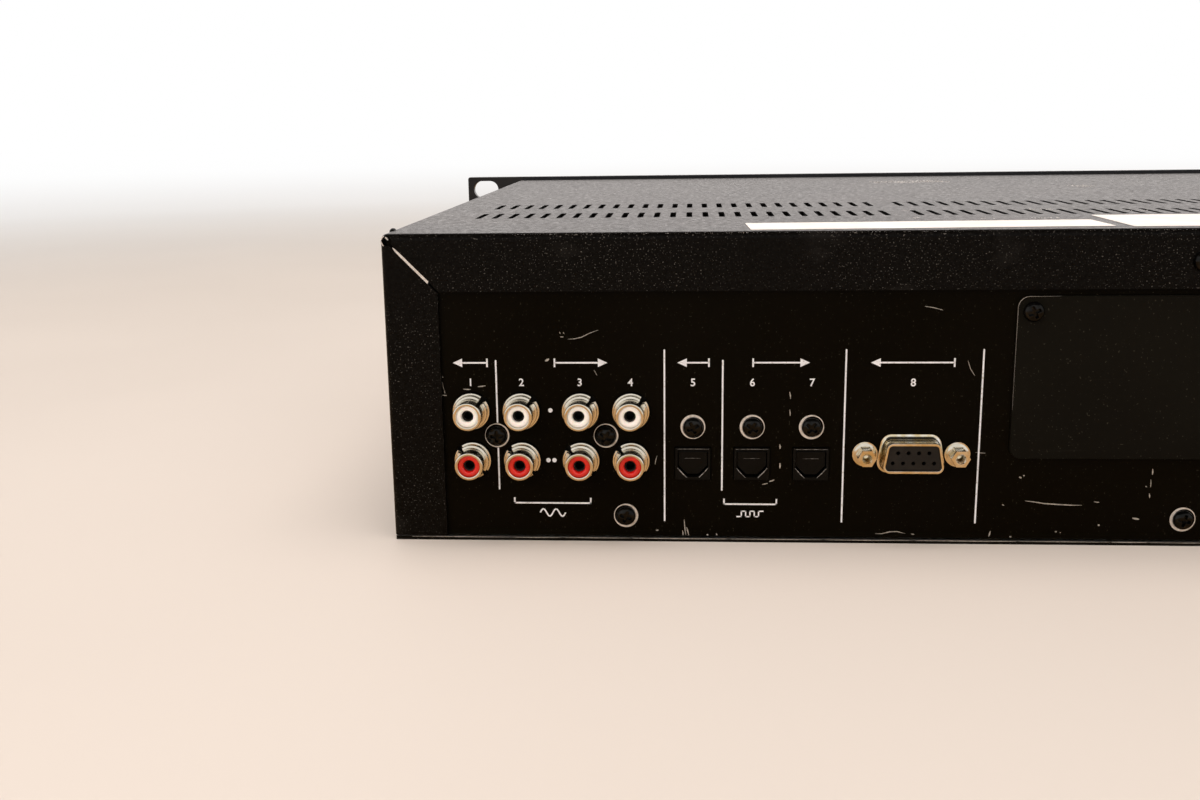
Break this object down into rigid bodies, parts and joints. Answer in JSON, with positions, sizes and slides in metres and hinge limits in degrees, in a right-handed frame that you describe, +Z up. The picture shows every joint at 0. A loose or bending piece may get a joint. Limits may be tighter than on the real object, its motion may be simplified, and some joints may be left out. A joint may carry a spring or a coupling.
{
  "type": "minidisc deck",
  "caption": "Two-unit 19-inch rack deck with a compact disc tray, a minidisc slot, front controls and a jack panel with phono, optical and D-type connectors.",
  "frame": {"origin": "middle of the case, on the face that it stands on", "axes": "+Z up, the front panel faces -Y, the jack panel faces +Y, +X is to the right seen from the front"},
  "size_m": [0.4826, 0.3236, 0.0881],
  "materials": {
    "zinc_steel": "zinc-plated sheet",
    "satin_black_steel": "satin black paint",
    "textured_black_steel": "textured black powder coat",
    "black_aluminium": "black anodised",
    "matte_black_steel": "matte black paint",
    "black_screw": "black oxide",
    "black_plastic": "moulded",
    "nickel": "nickel plate",
    "white_plastic": "moulded",
    "red_plastic": "moulded",
    "yellow_zinc": "yellow chromate on zinc",
    "circuit_board": "solder resist",
    "component_black": "moulded",
    "core_steel": "varnished laminations",
    "ribbon": "flat cable",
    "display_glass": "display tube",
    "smoked_window": "smoked acrylic",
    "black_front_plastic": "fine matte moulding",
    "white_gear": "acetal",
    "rubber": "rubber",
    "bright_steel": "ground steel",
    "grey_button": "moulded"
  },
  "bodies": {
    "root": {"bottom_chassis": "zinc_steel", "front_chassis": "zinc_steel", "rear_panel": "satin_black_steel", "top_cover": "textured_black_steel", "front_panel": "black_aluminium", "option_plate": "matte_black_steel", "screws": "black_screw", "rca_bodies": "black_plastic", "rca_shells": "nickel", "rca_inserts_white": "white_plastic", "rca_inserts_red": "red_plastic", "optical_jacks": "black_plastic", "dsub_shell": "yellow_zinc", "dsub_insulator": "black_plastic", "dsub_jackscrews": "nickel", "ac_inlet": "black_plastic", "circuit_boards": "circuit_board", "board_components": "component_black", "transformer": "core_steel", "ribbon_cables": "ribbon", "display_tube": "display_glass", "display_window": "smoked_window", "front_switches": "black_plastic", "phones_jack": "black_plastic", "cd_chassis": "black_plastic", "drive_motors": "nickel", "cd_belt": "rubber", "cd_clamp_bridge": "zinc_steel", "md_frame": "zinc_steel"},
    "cd_tray": {"cd_tray": "black_plastic", "cd_tray_front": "black_front_plastic"},
    "cd_drive_gear": {"cd_drive_gear": "white_gear"},
    "cd_pulley_gear": {"cd_pulley_gear": "white_gear"},
    "cd_motor_pulley": {"cd_motor_pulley": "white_gear"},
    "cd_clamper": {"cd_clamper": "black_plastic"},
    "cd_traverse": {"cd_traverse": "zinc_steel", "cd_traverse_motors": "nickel"},
    "cd_turntable": {"cd_turntable": "black_plastic"},
    "cd_pickup": {"cd_pickup": "black_plastic"},
    "cd_sled_gear": {"cd_sled_gear": "white_gear"},
    "md_holder": {"md_holder": "zinc_steel"},
    "md_head_arm": {"md_head_arm": "bright_steel"},
    "md_turntable": {"md_turntable": "black_plastic"},
    "md_pickup": {"md_pickup": "black_plastic"},
    "md_lead_screw": {"md_lead_screw": "bright_steel"},
    "md_slot_flap": {"md_slot_flap": "black_front_plastic"},
    "optical_shutter_1": {"optical_shutter_1": "black_plastic"},
    "optical_shutter_2": {"optical_shutter_2": "black_plastic"},
    "optical_shutter_3": {"optical_shutter_3": "black_plastic"},
    "cd_stop_button": {"cd_stop_button": "grey_button"},
    "cd_play_button": {"cd_play_button": "grey_button"},
    "cd_open_button": {"cd_open_button": "grey_button"},
    "md_record_button": {"md_record_button": "grey_button"},
    "md_stop_button": {"md_stop_button": "grey_button"},
    "md_play_button": {"md_play_button": "grey_button"},
    "md_eject_button": {"md_eject_button": "grey_button"},
    "power_button": {"power_button": "grey_button"},
    "phones_knob": {"phones_knob": "black_front_plastic"},
    "input_knob": {"input_knob": "black_front_plastic"},
    "jog_dial": {"jog_dial": "black_front_plastic"}
  },
  "joints": [
    {"name": "cd_tray_slide", "type": "slide", "parent": "root", "child": "cd_tray", "axis": [0, -1, 0], "range_m": [0, 0.136]},
    {"name": "cd_drive_gear_turn", "type": "hinge", "parent": "root", "child": "cd_drive_gear", "pos_m": [-0.077, -0.128, 0.057], "axis": [0, 0, 1], "range_deg": [-880, 20]},
    {"name": "cd_pulley_gear_turn", "type": "hinge", "parent": "root", "child": "cd_pulley_gear", "pos_m": [-0.0962, -0.128, 0.05], "axis": [0, 0, 1], "range_deg": [-20, 2620]},
    {"name": "cd_motor_pulley_turn", "type": "hinge", "parent": "root", "child": "cd_motor_pulley", "pos_m": [-0.138, -0.128, 0.046], "axis": [0, 0, 1], "range_deg": [-20, 7980]},
    {"name": "cd_clamper_turn", "type": "hinge", "parent": "root", "child": "cd_clamper", "pos_m": [-0.118, -0.08, 0.069], "axis": [0, 0, 1], "continuous": true},
    {"name": "cd_traverse_tilt", "type": "hinge", "parent": "root", "child": "cd_traverse", "pos_m": [-0.118, 0.004, 0.055], "axis": [1, 0, 0], "range_deg": [0, 5]},
    {"name": "cd_turntable_turn", "type": "hinge", "parent": "cd_traverse", "child": "cd_turntable", "pos_m": [-0.118, -0.08, 0.062], "axis": [0, 0, 1], "continuous": true},
    {"name": "cd_pickup_slide", "type": "slide", "parent": "cd_traverse", "child": "cd_pickup", "axis": [0, 1, 0], "range_m": [0, 0.034]},
    {"name": "cd_sled_gear_turn", "type": "hinge", "parent": "cd_traverse", "child": "cd_sled_gear", "pos_m": [-0.113, -0.03, 0.0404], "axis": [1, 0, 0], "range_deg": [-360, 20]},
    {"name": "md_holder_drop", "type": "slide", "parent": "root", "child": "md_holder", "axis": [0, 0, -1], "range_m": [0, 0.006]},
    {"name": "md_head_arm_swing", "type": "hinge", "parent": "root", "child": "md_head_arm", "pos_m": [0.14, -0.046, 0.0711], "axis": [1, 0, 0], "range_deg": [-0.5, 8]},
    {"name": "md_turntable_turn", "type": "hinge", "parent": "root", "child": "md_turntable", "pos_m": [0.14, -0.1, 0.051], "axis": [0, 0, 1], "continuous": true},
    {"name": "md_pickup_slide", "type": "slide", "parent": "root", "child": "md_pickup", "axis": [0, 1, 0], "range_m": [0, 0.018]},
    {"name": "md_lead_screw_turn", "type": "hinge", "parent": "root", "child": "md_lead_screw", "pos_m": [0.158, -0.07, 0.048], "axis": [0, 1, 0], "range_deg": [-20, 3260]},
    {"name": "md_flap_swing", "type": "hinge", "parent": "root", "child": "md_slot_flap", "pos_m": [0.14, -0.1475, 0.07], "axis": [1, 0, 0], "range_deg": [0, 84], "stiffness_Nm_per_rad": 0.0006, "springref_deg": -11.46},
    {"name": "optical_shutter_1_swing", "type": "hinge", "parent": "root", "child": "optical_shutter_1", "pos_m": [0.1312, 0.1478, 0.02575], "axis": [-1, 0, 0], "range_deg": [0, 80], "stiffness_Nm_per_rad": 0.00002, "springref_deg": -11.46},
    {"name": "optical_shutter_2_swing", "type": "hinge", "parent": "root", "child": "optical_shutter_2", "pos_m": [0.1149, 0.1478, 0.02575], "axis": [-1, 0, 0], "range_deg": [0, 80], "stiffness_Nm_per_rad": 0.00002, "springref_deg": -11.46},
    {"name": "optical_shutter_3_swing", "type": "hinge", "parent": "root", "child": "optical_shutter_3", "pos_m": [0.0987, 0.1478, 0.02575], "axis": [-1, 0, 0], "range_deg": [0, 80], "stiffness_Nm_per_rad": 0.00002, "springref_deg": -11.46},
    {"name": "cd_stop_press", "type": "slide", "parent": "root", "child": "cd_stop_button", "axis": [0, 1, 0], "range_m": [0, 0.001], "stiffness_N_per_m": 200, "springref_m": -0.001},
    {"name": "cd_play_press", "type": "slide", "parent": "root", "child": "cd_play_button", "axis": [0, 1, 0], "range_m": [0, 0.001], "stiffness_N_per_m": 200, "springref_m": -0.001},
    {"name": "cd_open_press", "type": "slide", "parent": "root", "child": "cd_open_button", "axis": [0, 1, 0], "range_m": [0, 0.001], "stiffness_N_per_m": 200, "springref_m": -0.001},
    {"name": "md_record_press", "type": "slide", "parent": "root", "child": "md_record_button", "axis": [0, 1, 0], "range_m": [0, 0.001], "stiffness_N_per_m": 200, "springref_m": -0.001},
    {"name": "md_stop_press", "type": "slide", "parent": "root", "child": "md_stop_button", "axis": [0, 1, 0], "range_m": [0, 0.001], "stiffness_N_per_m": 200, "springref_m": -0.001},
    {"name": "md_play_press", "type": "slide", "parent": "root", "child": "md_play_button", "axis": [0, 1, 0], "range_m": [0, 0.001], "stiffness_N_per_m": 200, "springref_m": -0.001},
    {"name": "md_eject_press", "type": "slide", "parent": "root", "child": "md_eject_button", "axis": [0, 1, 0], "range_m": [0, 0.001], "stiffness_N_per_m": 200, "springref_m": -0.001},
    {"name": "power_press", "type": "slide", "parent": "root", "child": "power_button", "axis": [0, 1, 0], "range_m": [0, 0.003], "stiffness_N_per_m": 150, "springref_m": -0.001},
    {"name": "phones_level_turn", "type": "hinge", "parent": "root", "child": "phones_knob", "pos_m": [-0.172, -0.16, 0.021], "axis": [0, 1, 0], "range_deg": [-150, 150]},
    {"name": "input_level_turn", "type": "hinge", "parent": "root", "child": "input_knob", "pos_m": [0.198, -0.16, 0.021], "axis": [0, 1, 0], "range_deg": [-150, 150]},
    {"name": "jog_turn", "type": "hinge", "parent": "root", "child": "jog_dial", "pos_m": [0.198, -0.16, 0.058], "axis": [0, 1, 0], "continuous": true}
  ],
  "couplings": [
    {"joint": "cd_drive_gear_turn", "follows": "cd_tray_slide", "rad_per_m": -111.11},
    {"joint": "cd_pulley_gear_turn", "follows": "cd_tray_slide", "rad_per_m": 333.33},
    {"joint": "cd_motor_pulley_turn", "follows": "cd_tray_slide", "rad_per_m": 1019},
    {"joint": "cd_sled_gear_turn", "follows": "cd_pickup_slide", "rad_per_m": -178.57},
    {"joint": "md_lead_screw_turn", "follows": "md_pickup_slide", "rad_per_m": 3141.6},
    {"joint": "md_head_arm_swing", "follows": "md_holder_drop", "rad_per_m": 21.617}
  ]
}
